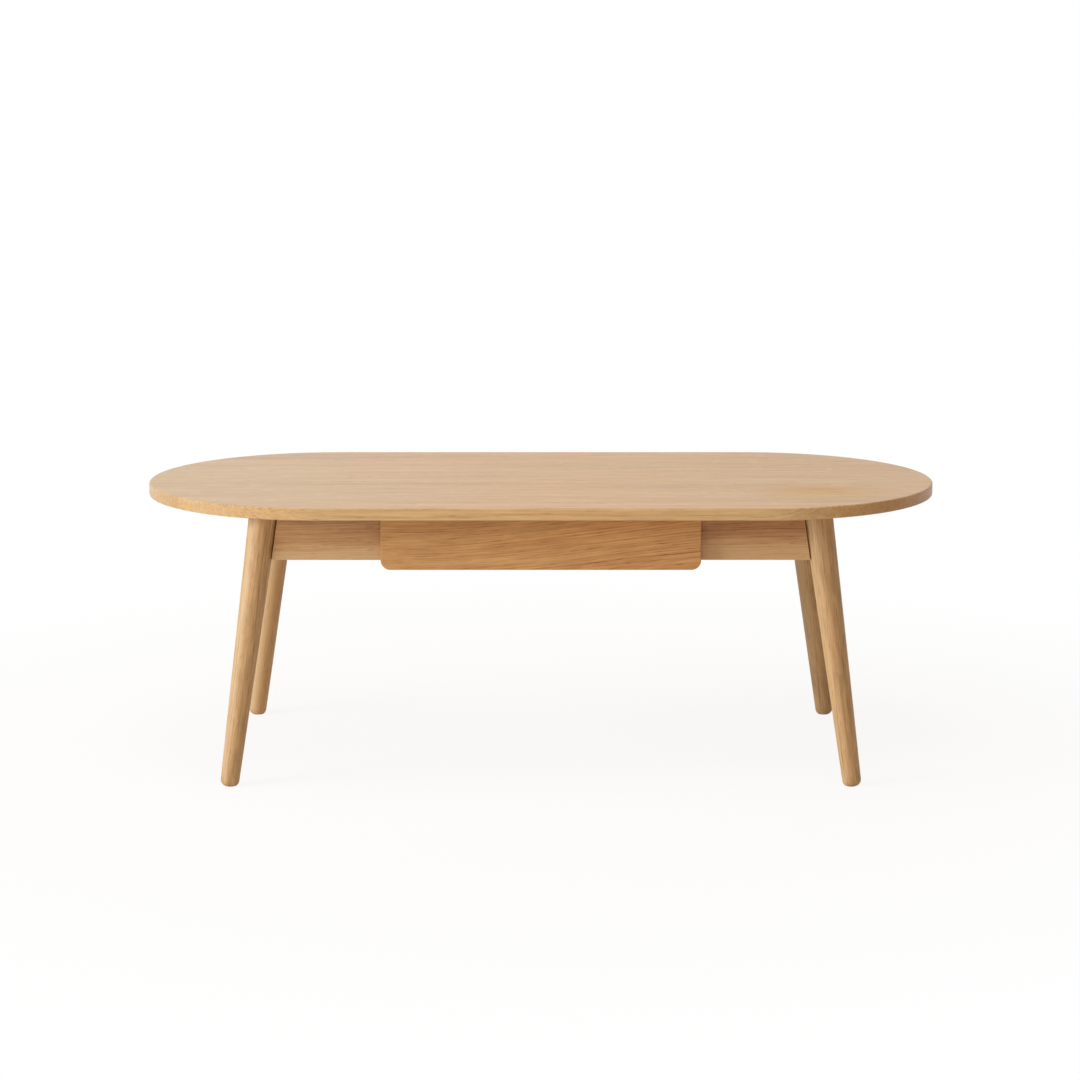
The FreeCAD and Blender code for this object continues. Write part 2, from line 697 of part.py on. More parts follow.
def build_drawer_box(front_screw_holes, slide_holes):
    """Four walls with through dovetails at the corners and a thin panel held in grooves all round."""
    tail = padded("tail", "YZ_Plane", [
        ("-drawer_wall / 2", "-tail_width / 2"),
        ("drawer_wall / 2", "tail_flare - tail_width / 2"),
        ("drawer_wall / 2", "tail_width / 2 - tail_flare"),
        ("-drawer_wall / 2", "tail_width / 2"),
    ], "drawer_wall")
    groove = box("bottom_groove", f"2 * {GROOVE_HALF}", GROOVE_LENGTH, "panel_thickness + panel_gap",
                 f"-{GROOVE_HALF}", GROOVE_FRONT, f"{BOX_BOTTOM} + panel_lift")
    cross_walls = {}
    for name, y, tail_y, heading in (
        ("drawer_subfront", BOX_FRONT, f"{BOX_FRONT} + drawer_wall / 2", "down"),
        ("drawer_back", f"{BOX_BACK} - drawer_wall", f"{BOX_BACK} - drawer_wall / 2", "turned"),
    ):
        wall = box(f"{name}_board", f"2 * {BOX_HALF}", "drawer_wall", BOX_HEIGHT,
                   f"-{BOX_HALF}", y, BOX_BOTTOM)
        tails = placed(tail, f"{name}_tails", [
            (f"{side} * {WALL_X}", tail_y, f"{BOX_BOTTOM} + {share} * {BOX_HEIGHT}", heading)
            for side in SIDES.values()
            for share in TAIL_HEIGHTS
        ])
        cross_walls[name] = cut(wall, tails)
    for side_name, side in SIDES.items():
        name = f"drawer_side_{side_name}"
        board = box(f"{name}_board", "drawer_wall", BOX_DEPTH, BOX_HEIGHT,
                    f"{side} * {WALL_X} - drawer_wall / 2", BOX_FRONT, BOX_BOTTOM)
        keep(cut(board, *cross_walls.values(), groove, slide_holes), name)
    keep(cut(cross_walls["drawer_subfront"], groove, front_screw_holes), "drawer_subfront")
    keep(cut(cross_walls["drawer_back"], groove), "drawer_back")
    panel = box("bottom_panel", f"2 * ({GROOVE_HALF} - panel_gap)", f"{GROOVE_LENGTH} - 2 * panel_gap",
                "panel_thickness",
                f"panel_gap - {GROOVE_HALF}", f"{GROOVE_FRONT} + panel_gap", f"{BOX_BOTTOM} + panel_lift")
    keep(panel, "drawer_bottom")


def check_and_write():
    """Stop at any failed object or bad shape, then write one file per piece."""
    doc.recompute()
    for item in doc.Objects:
        if "Invalid" in item.State or "Error" in item.State:
            raise RuntimeError(f"{item.Label} failed: {item.State}")
    for node in nodes:
        if node.Shape.isNull() or not node.Shape.isValid() or not node.Shape.Solids:
            raise RuntimeError(f"{node.Label} has no valid shape")
    os.makedirs("parts", exist_ok=True)
    for node in nodes:
        node.Shape.exportStep(f"parts/{node.Label}.step")
        print(f"{node.Label}: {len(node.Shape.Solids)} solid(s), {node.Shape.Volume / 1000:.1f} cm3")


def main():
    fill_sheet()
    dowel_pair = dowel_and_hole()
    rail_holes = fasteners("rail_dowels", dowel_pair, rail_dowel_spots())
    bearer_holes = fasteners("bearer_dowels", dowel_pair, bearer_dowel_spots())
    block_pair = screw_and_hole("block_screw", f"{BLOCK_SEAT} + rail_thickness - screw_cover", "block_far")
    block_holes = fasteners("corner_block_screws", block_pair, block_screw_spots())
    top_pair = screw_and_hole("top_screw", "top_screw_seat + top_thickness - screw_cover", "rail_height")
    top_holes = fasteners("top_screws", top_pair, top_screw_spots())
    front_pair = screw_and_hole("front_screw", "drawer_wall + front_thickness - screw_cover", "drawer_wall")
    front_holes = fasteners("drawer_front_screws", front_pair, front_screw_spots())
    slide_pair = countersunk_screw_and_hole("slide_screw")
    outer_holes = fasteners("slide_outer_screws", slide_pair, slide_screw_spots(outer=True))
    inner_holes = fasteners("slide_inner_screws", slide_pair, slide_screw_spots(outer=False))

    build_tabletop(top_holes)
    build_legs(rail_holes)
    build_long_rails(rail_holes, bearer_holes, block_holes)
    build_side_rails(rail_holes, block_holes)
    build_corner_blocks(block_holes, top_holes)
    build_bearers(bearer_holes, top_holes, outer_holes)
    build_slides(outer_holes, inner_holes)
    build_ball_cages()
    build_drawer_front(front_holes)
    build_drawer_box(front_holes, inner_holes)
    check_and_write()


main()
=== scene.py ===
import math

import bmesh
import bpy
import numpy
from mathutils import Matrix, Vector
from mathutils.geometry import tessellate_polygon


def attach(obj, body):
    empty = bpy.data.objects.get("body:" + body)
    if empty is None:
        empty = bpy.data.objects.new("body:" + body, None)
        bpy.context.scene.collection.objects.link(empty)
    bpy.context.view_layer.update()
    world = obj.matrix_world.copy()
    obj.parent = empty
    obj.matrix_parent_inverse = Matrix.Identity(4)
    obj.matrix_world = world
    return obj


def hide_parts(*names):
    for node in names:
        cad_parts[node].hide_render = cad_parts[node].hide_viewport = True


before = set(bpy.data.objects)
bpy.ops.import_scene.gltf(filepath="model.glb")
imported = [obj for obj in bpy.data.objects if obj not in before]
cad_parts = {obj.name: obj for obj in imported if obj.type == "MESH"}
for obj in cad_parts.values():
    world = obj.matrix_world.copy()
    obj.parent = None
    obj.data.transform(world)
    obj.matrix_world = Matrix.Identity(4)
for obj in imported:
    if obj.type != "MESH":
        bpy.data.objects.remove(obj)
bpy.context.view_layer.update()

# Camera: pinhole fitted to the photograph, in metres, degrees and pixels of a square frame
CAMERA_PLACE = (0.0, -4.7236, 1.1802)
CAMERA_PITCH = 10.22
CAMERA_REACH = 200
FOCAL_PIXELS = 3112
FRAME_PIXELS = 1080
SHIFT_PIXELS = (-0.84, 0.4)
SENSOR_WIDTH = 36.0

# Light: what comes back from a room is warm, and a window's sheen is a little cool
ROOM_TINT = (1.0, 0.9, 0.79, 1)
WINDOW_TINT = (0.82, 0.91, 1.0, 1)
WHITE = (1, 1, 1, 1)
ROOM_STRENGTH = 0.27
TABLE_MIDDLE = (0, 0, 0.35)
TOP_MIDDLE = (0, 0, 0.4)

# Floor: half its width, its paper, and how far out the paper goes over into white, in metres
FLOOR_HALF = 60.0
FLOOR_PAPER = (0.92, 0.87, 0.79, 1)
WHITENING_FROM, WHITENING_TO = 0.5, 1.6
LEAST_WHITENING = 0.89

# Legs: the axis of the right back one at the floor and at the underside of the top, how far aside and
# behind it the pith lies, in metres, and how far each one's wood is from the light colour to the dark one.
# The pith lies to the right of each leg, so that its paler sapwood is painted light on the left side, which
# faces the window
LEG_FOOT = Vector((0.4635, 0.231, 0.0))
LEG_TOP = Vector((0.408, 0.208, 0.407))
LEG_PITH_ASIDE = 0.05
LEG_PITH_BEHIND = 0.012
LEG_TONES = {
    "leg_front_left": 0.26, "leg_front_right": 0.26, "leg_back_left": 0.08, "leg_back_right": 0.29,
}

# Screws: the body each set rides on, and the cross recess as shares of the radius of the head's flat
SCREW_BODIES = {
    "corner_block_screws": "table", "top_screws": "table", "slide_outer_screws": "table",
    "slide_inner_screws": "drawer", "drawer_front_screws": "drawer",
}
SCREW_SIDES = 28
CROSS_REACH, CROSS_HALF_WIDTH, CROSS_DEPTH, CROSS_TAPER = 0.74, 0.16, 0.5, 0.35
SHARP_ANGLE = math.radians(35)
SAME_POINT = 1e-6

ALONG_X = Vector((1, 0, 0))
ALONG_Y = Vector((0, 1, 0))
ALONG_Z = Vector((0, 0, 1))

# Noise in oak: features per metre along the grain, and in the two directions across it
WANDER = (1.4, 8, 8)
BUNCHING = (0.7, 24, 24)
RIPPLE = (7, 55, 55)
COME_AND_GO = (3, 130, 130)
BROAD = (1.1, 16, 16)
STREAK = (7, 330, 330)
FINE = (20, 1000, 1000)
MOTTLE = (26, 190, 190)
PORES = (45, 1000, 1000)
FLECKS = (38, 28, 420)
DRIFT = (2.3, 21, 21)
CLOUD = (6, 45, 45)

# How far noise carries the growth rings off their circles, in metres
WANDER_REACH, BUNCHING_REACH, RIPPLE_REACH = 0.022, 0.014, 0.004

# Sapwood: how far it takes to go over from the heartwood and how uneven that border is, in metres, and how
# much it takes off the shade; the legs and the front rail use it as painted light on their lit parts
SAPWOOD_AND_LIGHT_FADE = 0.034
SAPWOOD_AND_LIGHT_WANDER = 0.03
SAPWOOD_AND_LIGHT_SHADE = -0.4

# The top: width of a stave, thickness of a glue line, and the pith of a stave and its spread, in metres
STAVE_WIDTH = 0.173
GLUE_LINE = 0.0006
STAVE_PITH = (0, 0.2, 0.28)
STAVE_PITH_SPREAD = (9.0, 0.16, 0.05)
STAVE_SEED = 41.0
STAVE_TONE, STAVE_TONE_SPREAD = 0.12, 0.24
EDGE_FIGURE, FACE_FIGURE = 0.3, 0.72
TOP_GLOSS = 0.34

# A warmer, duller cloud in the top's right front stave: its middle and how far it reaches, in metres
WARM_CLOUD = (0.42, -0.12, 0.425)
WARM_CLOUD_REACH = (0.11, 0.07, 1.0)
CLOUD_DULLNESS = 0.14
LEFT_DULLNESS = -0.05

# How far to the left and right the boards in the front go over from their own tone to a painted shade,
# darker and warmer away from the window, in metres
FRONT_REACH = 0.35

# Worn edges, which also carry a painted highlight along the arrises: how wide they are, in metres, and how
# much of their paler colour shows
WEAR_AND_HIGHLIGHT_WIDTH = 0.0022
WEAR_AND_HIGHLIGHT_SHARE = 0.3

# Tints, by which a colour is multiplied
# The sapwood tint also paints the lit left side of the legs and the lower part of the front rail paler, as
# painted light
SAPWOOD_AND_LIGHT_TINT = (0.96, 1.05, 1.18, 1)
REDDER_TINT = (1.03, 0.98, 0.94, 1)
STAVE_TINT = (1.02, 0.98, 0.98, 1)
CLOUD_TINT = (0.98, 0.92, 0.8, 1)
# Painted sheen on the top's left part and its left edge, and painted shade on its right part and, redder, on
# its right edge
TOP_LEFT_SHEEN_TINT = (0.99, 1.05, 1.12, 1)
TOP_RIGHT_SHADE_TINT = (0.97, 0.975, 0.98, 1)
EDGE_LEFT_SHEEN_TINT = (1.02, 1.04, 1.09, 1)
EDGE_RIGHT_SHADE_TINT = (0.95, 0.82, 0.7, 1)
FRONT_RIGHT_SHADE_TINT = (1.03, 0.96, 0.92, 1)
END_GRAIN_TINT = (0.86, 0.82, 0.77, 1)


def linear(red, green, blue):
    """A colour given as 0 to 255 screen values, as the renderer's own values."""
    def channel(level):
        share = level / 255
        return share / 12.92 if share <= 0.04045 else ((share + 0.055) / 1.055) ** 2.4
    return (channel(red), channel(green), channel(blue), 1.0)


TOP_COLORS = {"light": linear(215, 180, 127), "dark": linear(146, 94, 50)}
DRAWER_COLORS = {"light": linear(208, 163, 108), "dark": linear(124, 67, 31)}
RAIL_COLORS = {"light": linear(208, 167, 119), "dark": linear(120, 64, 30)}
LEG_COLORS = {"light": linear(202, 163, 112), "dark": linear(118, 73, 36)}
INSIDE_COLORS = {"light": linear(232, 208, 168), "dark": linear(186, 146, 100)}
WEAR_AND_HIGHLIGHT_COLOR = linear(230, 198, 158)
PLATED_COLOR = linear(200, 202, 204)
BALL_COLOR = linear(215, 216, 218)
SCREW_COLOR = linear(196, 190, 170)

# A board's look, unless it has its own: tone and figure from 0 to 1, the width of a growth ring and the
# distance of the sapwood from the pith in metres, which some boards set so as to paint their lit part paler
PLAIN_LOOK = {"tone": 0.22, "ring": 0.0032, "figure": 0.6, "mottle": 0.35, "sapwood": 9.0}


class Tree:
    """Short calls for building a node tree."""

    def __init__(self, tree):
        self.tree = tree

    def add(self, kind, inputs=None, **settings):
        node = self.tree.nodes.new(kind)
        for name, setting in settings.items():
            setattr(node, name, setting)
        for key, feed in (inputs or {}).items():
            self.feed(node.inputs[key], feed)
        return node

    def feed(self, socket, feed):
        if isinstance(feed, bpy.types.NodeSocket):
            self.tree.links.new(feed, socket)
        else:
            socket.default_value = feed

    def math(self, operation, *feeds):
        node = self.add("ShaderNodeMath", dict(enumerate(feeds)), operation=operation)
        return node.outputs[0]

    def vector_math(self, operation, *feeds):
        node = self.add("ShaderNodeVectorMath", dict(enumerate(feeds)), operation=operation)
        return node.outputs["Value" if operation in ("DOT_PRODUCT", "LENGTH") else "Vector"]

    def noise(self, point, stretch, detail=2.0, roughness=0.5):
        """Noise from 0 to 1 with its own number of features per metre along each axis."""
        scaled = self.vector_math("MULTIPLY", point, stretch)
        node = self.add("ShaderNodeTexNoise", {
            "Vector": scaled, "Scale": 1.0, "Detail": detail, "Roughness": roughness,
        })
        return node.outputs["Fac"]

    def fade(self, feed, low, high, to_low=0.0, to_high=1.0):
        """A smooth step from to_low to to_high as the feed goes from low to high."""
        node = self.add("ShaderNodeMapRange", {
            "Value": feed, "From Min": low, "From Max": high, "To Min": to_low, "To Max": to_high,
        }, interpolation_type="SMOOTHSTEP")
        return node.outputs["Result"]

    def mix(self, share, first, second, blend="MIX"):
        node = self.add("ShaderNodeMix", data_type="RGBA", blend_type=blend)
        self.feed(node.inputs["Factor"], share)
        self.feed(node.inputs[6], first)
        self.feed(node.inputs[7], second)
        return node.outputs[2]

    def tint(self, share, color, tint):
        """The colour, multiplied by a tint as far as the share goes."""
        return self.mix(share, color, tint, "MULTIPLY")

    def sum_of(self, start, *terms):
        """The start plus each feed times its weight, with noise counted from its middle."""
        total = start
        for feed, weight, middle in terms:
            centred = self.math("SUBTRACT", feed, middle) if middle else feed
            total = self.math("MULTIPLY_ADD", centred, weight, total)
        return total


def oak_figure():
    """A node group that draws oak at a point measured from the pith, with X along the grain."""
    group = bpy.data.node_groups.new("oak_figure", "ShaderNodeTree")
    for name, kind in (("Point", "Vector"), ("Tone", "Float"), ("Light", "Color"), ("Dark", "Color"),
                       ("Ring", "Float"), ("Figure", "Float"), ("Mottle", "Float"), ("Sapwood", "Float")):
        group.interface.new_socket(name, in_out="INPUT", socket_type=f"NodeSocket{kind}")
    for name, kind in (("Color", "Color"), ("Roughness", "Float"), ("Height", "Float")):
        group.interface.new_socket(name, in_out="OUTPUT", socket_type=f"NodeSocket{kind}")
    tree = Tree(group)
    given = tree.add("NodeGroupInput").outputs
    point = given["Point"]

    # Growth rings: distance from the pith, wandering along the grain, each a thin dark line with a soft tail
    from_pith = tree.vector_math("LENGTH", tree.vector_math("MULTIPLY", point, (0, 1, 1)))
    wander = tree.noise(point, WANDER, detail=2)
    ripple = tree.noise(point, RIPPLE, detail=3, roughness=0.55)
    bunching = tree.noise(point, BUNCHING, detail=1)
    radius = tree.sum_of(from_pith, (wander, WANDER_REACH, 0), (bunching, BUNCHING_REACH, 0),
                         (ripple, RIPPLE_REACH, 0))
    rings = tree.math("DIVIDE", radius, given["Ring"])
    phase = tree.math("FRACT", rings)
    ring_tone = tree.add("ShaderNodeTexWhiteNoise", {"W": tree.math("FLOOR", rings)}, noise_dimensions="1D")
    line = tree.math("SUBTRACT", tree.fade(phase, 0.0, 0.14), tree.fade(phase, 0.12, 0.6))
    come_and_go = tree.fade(tree.noise(point, COME_AND_GO, detail=2), 0.36, 0.64, 0.15, 1.0)
    strength = tree.math("MULTIPLY_ADD", ring_tone.outputs["Value"], 0.8, 0.2)
    rings_drawn = tree.math("MULTIPLY", line, tree.math("MULTIPLY", strength, come_and_go))

    # Fibres, pores and ray flecks
    broad = tree.noise(point, BROAD, detail=2)
    streak = tree.noise(point, STREAK, detail=3, roughness=0.6)
    fine = tree.noise(point, FINE, detail=2)
    mottle = tree.noise(point, MOTTLE, detail=3)
    pore_share = tree.math("MULTIPLY_ADD", line, 0.7, 0.3)
    pore = tree.math("MULTIPLY", tree.fade(tree.noise(point, PORES, detail=1), 0.58, 0.7), pore_share)
    fleck = tree.fade(tree.noise(point, FLECKS, detail=1), 0.64, 0.74)

    # Colour: from light to dark, paler in the sapwood, with a slow drift from a yellower to a redder brown;
    # where a board puts its sapwood on its lit part, that paler colour is painted light
    shade = tree.math("ADD", tree.math("MULTIPLY", rings_drawn, given["Figure"]), given["Tone"])
    shade = tree.sum_of(shade, (streak, 0.7, 0.5), (fine, 0.25, 0.5), (broad, 0.4, 0.5), (pore, 0.4, 0),
                        (mottle, given["Mottle"], 0.5), (fleck, -0.1, 0))
    uneven = tree.math("MULTIPLY_ADD", wander, SAPWOOD_AND_LIGHT_WANDER, from_pith)
    pale = tree.fade(tree.math("SUBTRACT", uneven, given["Sapwood"]), 0.0, SAPWOOD_AND_LIGHT_FADE)
    shade = tree.math("MULTIPLY_ADD", pale, SAPWOOD_AND_LIGHT_SHADE, shade)
    clamped = tree.add("ShaderNodeClamp", {"Value": shade}).outputs["Result"]
    color = tree.tint(pale, tree.mix(clamped, given["Light"], given["Dark"]), SAPWOOD_AND_LIGHT_TINT)
    drift = tree.fade(tree.noise(point, DRIFT, detail=2), 0.3, 0.7)
    color = tree.tint(drift, color, REDDER_TINT)

    fibres = tree.math("MULTIPLY", fine, 0.25)
    height = tree.sum_of(fibres, (pore, -0.8, 0), (line, -0.15, 0), (streak, 0.2, 0))
    roughness = tree.sum_of(0.31, (streak, 0.12, 0), (pore, 0.15, 0))
    tree.add("NodeGroupOutput", {"Color": color, "Roughness": roughness, "Height": height})
    return group


def sideways(grain):
    """Two directions square to the grain and to each other, the second one as upright as it can be."""
    upright = ALONG_Z if abs(grain.z) < 0.7 else -ALONG_Y
    across = upright.cross(grain).normalized()
    return across, grain.cross(across)


def grain_point(tree, grain, pith, sweep=None):
    """The surface point with X along the grain, measured from the pith.

    A sweep is (start, end, climb): the grain of a bowed log rises by the climb between two places along it.
    """
    place = tree.add("ShaderNodeTexCoord").outputs["Object"]
    across, up = sideways(grain)
    along = tree.vector_math("DOT_PRODUCT", place, grain)
    height = tree.vector_math("DOT_PRODUCT", place, up)
    if sweep:
        start, end, climb = sweep
        height = tree.math("SUBTRACT", height, tree.fade(along, start, end, 0.0, climb))
    node = tree.add("ShaderNodeCombineXYZ", {
        0: along, 1: tree.vector_math("DOT_PRODUCT", place, across), 2: height,
    })
    return tree.vector_math("SUBTRACT", node.outputs[0], pith)


def new_material(name):
    """A material, its node tree and its surface shader."""
    material = bpy.data.materials.new(name)
    material.use_nodes = True
    return material, Tree(material.node_tree), material.node_tree.nodes["Principled BSDF"]


def draw_oak(tree, **feeds):
    """The oak figure's node with its feeds, whose names are the group's own without capitals."""
    drawn = tree.add("ShaderNodeGroup", node_tree=FIGURE)
    for key, feed in feeds.items():
        tree.feed(drawn.inputs[key.capitalize()], feed)
    return drawn


def oak(name, colors, grain, pith, sweep=None, gloss=0.2, satin=0.0, painted_shade_to_right=0.0, **look):
    """One oak board: its colours, its grain's direction and sweep, the pith beside it, and its own look.

    How much the tone deepens from left to right, where the colour also gets warmer, is painted shade that
    falls away from the window.
    """
    material, tree, shader = new_material(name)
    look = {**PLAIN_LOOK, **look}
    # Painted shade: darker and warmer towards the right, away from the window
    if painted_shade_to_right:
        place = tree.add("ShaderNodeTexCoord").outputs["Object"]
        along = tree.vector_math("DOT_PRODUCT", place, grain)
        rightness = tree.fade(along, -FRONT_REACH, FRONT_REACH)
        look["tone"] = tree.sum_of(look["tone"], (rightness, painted_shade_to_right, 0.5))
    drawn = draw_oak(tree, point=grain_point(tree, grain, pith, sweep), **colors, **look)
    color = drawn.outputs["Color"]
    # Painted shade, warmer, to the right
    if painted_shade_to_right:
        color = tree.tint(rightness, color, FRONT_RIGHT_SHADE_TINT)
    finish_wood(tree, shader, drawn, color, grain, gloss, satin)
    return material


def finish_wood(tree, shader, drawn, color, grain, gloss, satin):
    """Darken the end grain, lighten edges as wear and painted highlight, wire up an oiled surface; satin
    spreads its gloss.
    """
    normal = tree.add("ShaderNodeTexCoord").outputs["Normal"]
    facing = tree.math("ABSOLUTE", tree.vector_math("DOT_PRODUCT", normal, grain))
    color = tree.tint(tree.fade(facing, 0.45, 1.0), color, END_GRAIN_TINT)
    # Paler edges: partly wear, partly a painted highlight along the arrises
    true_normal = tree.add("ShaderNodeNewGeometry").outputs["Normal"]
    soft_normal = tree.add("ShaderNodeBevel", {"Radius": WEAR_AND_HIGHLIGHT_WIDTH}, samples=4).outputs["Normal"]
    wear_and_highlight = tree.fade(tree.vector_math("DOT_PRODUCT", true_normal, soft_normal), 0.99, 0.8)
    color = tree.mix(tree.math("MULTIPLY", wear_and_highlight, WEAR_AND_HIGHLIGHT_SHARE), color, WEAR_AND_HIGHLIGHT_COLOR)
    height = drawn.outputs["Height"]
    bump = tree.add("ShaderNodeBump", {"Strength": 0.12, "Distance": 0.0004, "Height": height})
    tree.feed(shader.inputs["Base Color"], color)
    tree.feed(shader.inputs["Roughness"], tree.math("ADD", drawn.outputs["Roughness"], satin))
    tree.feed(shader.inputs["Normal"], bump.outputs["Normal"])
    tree.feed(shader.inputs["Specular IOR Level"], gloss)


def stave_point(tree, place, number, chance):
    """The point in a stave of the top, measured from that stave's own pith."""
    centred = tree.vector_math("SUBTRACT", chance, (0.5, 0.5, 0.5))
    pith = tree.vector_math("MULTIPLY_ADD", centred, STAVE_PITH_SPREAD, STAVE_PITH)
    middle = tree.math("MULTIPLY", tree.math("ADD", number, 0.5), STAVE_WIDTH)
    stave_middle = tree.add("ShaderNodeCombineXYZ", {1: middle}).outputs[0]
    return tree.vector_math("SUBTRACT", tree.vector_math("SUBTRACT", place, stave_middle), pith)


def warm_cloud(tree, place):
    """1 in the middle of the top's warm cloud, going down to 0 round it along an uneven border."""
    from_middle = tree.vector_math("SUBTRACT", place, WARM_CLOUD)
    distance = tree.vector_math("LENGTH", tree.vector_math("DIVIDE", from_middle, WARM_CLOUD_REACH))
    uneven = tree.math("MULTIPLY_ADD", tree.noise(place, CLOUD), 1.1, distance)
    return tree.fade(uneven, 1.8, 0.5)


def glued_oak(name):
    """The top: staves along X, each with its own pith, tone and tint, and fine glue lines between them."""
    material, tree, shader = new_material(name)
    place = tree.add("ShaderNodeTexCoord").outputs["Object"]
    normal = tree.add("ShaderNodeTexCoord").outputs["Normal"]
    along, across, _ = tree.add("ShaderNodeSeparateXYZ", {0: place}).outputs
    count = tree.math("DIVIDE", across, STAVE_WIDTH)
    number = tree.math("FLOOR", count)
    seed = tree.math("ADD", number, STAVE_SEED)
    chance = tree.add("ShaderNodeTexWhiteNoise", {"W": seed}, noise_dimensions="1D").outputs["Color"]
    chances = tree.add("ShaderNodeSeparateColor", {0: chance}).outputs

    # Each stave, with less figure on the top's edge than on its face
    tone = tree.math("MULTIPLY_ADD", chances[0], STAVE_TONE_SPREAD, STAVE_TONE)
    level = tree.math("ABSOLUTE", tree.vector_math("DOT_PRODUCT", normal, ALONG_Z))
    figure = tree.fade(level, 0.3, 0.9, EDGE_FIGURE, FACE_FIGURE)
    look = {**PLAIN_LOOK, "tone": tone, "figure": figure}
    drawn = draw_oak(tree, point=stave_point(tree, place, number, chance), **TOP_COLORS, **look)
    color = tree.tint(chances[1], drawn.outputs["Color"], STAVE_TINT)

    # Places that differ: the warm cloud, and painted light, which is painted sheen on the left part and the
    # left edge and painted shade on the right part and, redder, on the right edge
    warmth = warm_cloud(tree, place)
    color = tree.tint(warmth, color, CLOUD_TINT)
    leftness = tree.fade(along, 0.1, -0.5)
    color = tree.tint(leftness, color, TOP_LEFT_SHEEN_TINT)
    color = tree.tint(tree.fade(along, 0.0, 0.5), color, TOP_RIGHT_SHADE_TINT)
    to_right = tree.vector_math("DOT_PRODUCT", normal, ALONG_X)
    color = tree.tint(tree.fade(to_right, 0.1, 0.6), color, EDGE_RIGHT_SHADE_TINT)
    color = tree.tint(tree.fade(to_right, -0.1, -0.6), color, EDGE_LEFT_SHEEN_TINT)
    satin = tree.sum_of(0.0, (warmth, CLOUD_DULLNESS, 0), (leftness, LEFT_DULLNESS, 0))

    from_joint = tree.math("PINGPONG", count, 0.5)
    glue = tree.fade(from_joint, 0.0, GLUE_LINE / STAVE_WIDTH, 1.0, 0.0)
    color = tree.mix(tree.math("MULTIPLY", glue, 0.4), color, TOP_COLORS["dark"])
    finish_wood(tree, shader, drawn, color, ALONG_X, TOP_GLOSS, satin)
    return material


def pale_wood(name, grain, pith, tone=0.15):
    """Birch or beech: close grain with little figure."""
    return oak(name, INSIDE_COLORS, grain, pith, tone=tone, ring=0.0045, figure=0.18)


def metal(name, color, roughness, grain):
    """Plated steel with fine drawing lines along the grain and a faint cloudiness."""
    material, tree, shader = new_material(name)
    point = grain_point(tree, grain, (0, 0, 0))
    lines = tree.noise(point, (20, 3000, 3000), detail=2)
    cloud = tree.noise(point, (25, 60, 60), detail=3)
    darker = tuple(0.8 * level for level in color[:3]) + (1,)
    tree.feed(shader.inputs["Base Color"], tree.mix(cloud, color, darker))
    tree.feed(shader.inputs["Roughness"], tree.math("MULTIPLY_ADD", lines, 0.25, roughness))
    tree.feed(shader.inputs["Metallic"], 1.0)
    bump = tree.add("ShaderNodeBump", {"Strength": 0.05, "Distance": 0.0001, "Height": lines})
    tree.feed(shader.inputs["Normal"], bump.outputs["Normal"])
    return material


def dress(node, material):
    """Give a CAD node its material in every slot."""
    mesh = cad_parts[node].data
    mesh.materials.clear()
    mesh.materials.append(material)


def tilted(degrees):
    """Grain along X that climbs to the right."""
    slope = math.radians(degrees)
    return Vector((math.cos(slope), 0, math.sin(slope)))


def dress_oak():
    """The top, the drawer front and the apron; the legs have a function of their own."""
    dress("tabletop", glued_oak("oak_top"))
    # The drawer front and the front rail darken and warm to the right as painted shade
    dress("drawer_front", oak("oak_drawer_front", DRAWER_COLORS, ALONG_X, pith=(0.4, -0.19, 0.27),
                              sweep=(-0.18, 0.34, 0.045), painted_shade_to_right=0.12, ring=0.0034, figure=0.38,
                              mottle=0.6))
    # The front rail's sapwood paints its lower part paler: partly sapwood, partly painted light below the
    # shade that the top casts on its upper part
    dress("front_rail", oak("oak_front_rail", RAIL_COLORS, tilted(1), pith=(1.7, -0.17, 0.46),
                            tone=0.39, painted_shade_to_right=0.16, figure=0.34, sapwood=0.107))
    dress("back_rail", oak("oak_back_rail", RAIL_COLORS, tilted(-1), pith=(3.1, 0.15, 0.30),
                           tone=0.3, figure=0.4))
    for number, side in enumerate(("left", "right")):
        pith = (0.7 + number, 0.33 - 0.7 * number, 0.29)
        board = oak(f"oak_side_rail_{side}", RAIL_COLORS, ALONG_Y, pith, tone=0.3, figure=0.4)
        dress(f"side_rail_{side}", board)
        for end, sign in (("front", -1), ("back", 1)):
            dress_leg(f"leg_{end}_{side}", 2 * number - 1, sign, shift=number + sign)


def dress_leg(leg, to_right, to_back, shift):
    """A leg, with its grain along its own axis and shifted so that no two legs are alike."""
    mirror = Vector((to_right, to_back, 1))
    grain = ((LEG_TOP - LEG_FOOT) * mirror).normalized()
    across, up = sideways(grain)
    foot = LEG_FOOT * mirror
    # The pith goes to the right, so the pale sapwood paints the leg's left side, lit by the window: painted
    # light
    pith = (
        foot.dot(grain) + shift,
        foot.dot(across) - LEG_PITH_ASIDE,
        foot.dot(up) - LEG_PITH_BEHIND * to_back,
    )
    dress(leg, oak(f"oak_{leg}", LEG_COLORS, grain, pith, gloss=0.5, satin=0.18,
                   tone=LEG_TONES[leg], figure=0.42, mottle=0.8, sapwood=0.058))


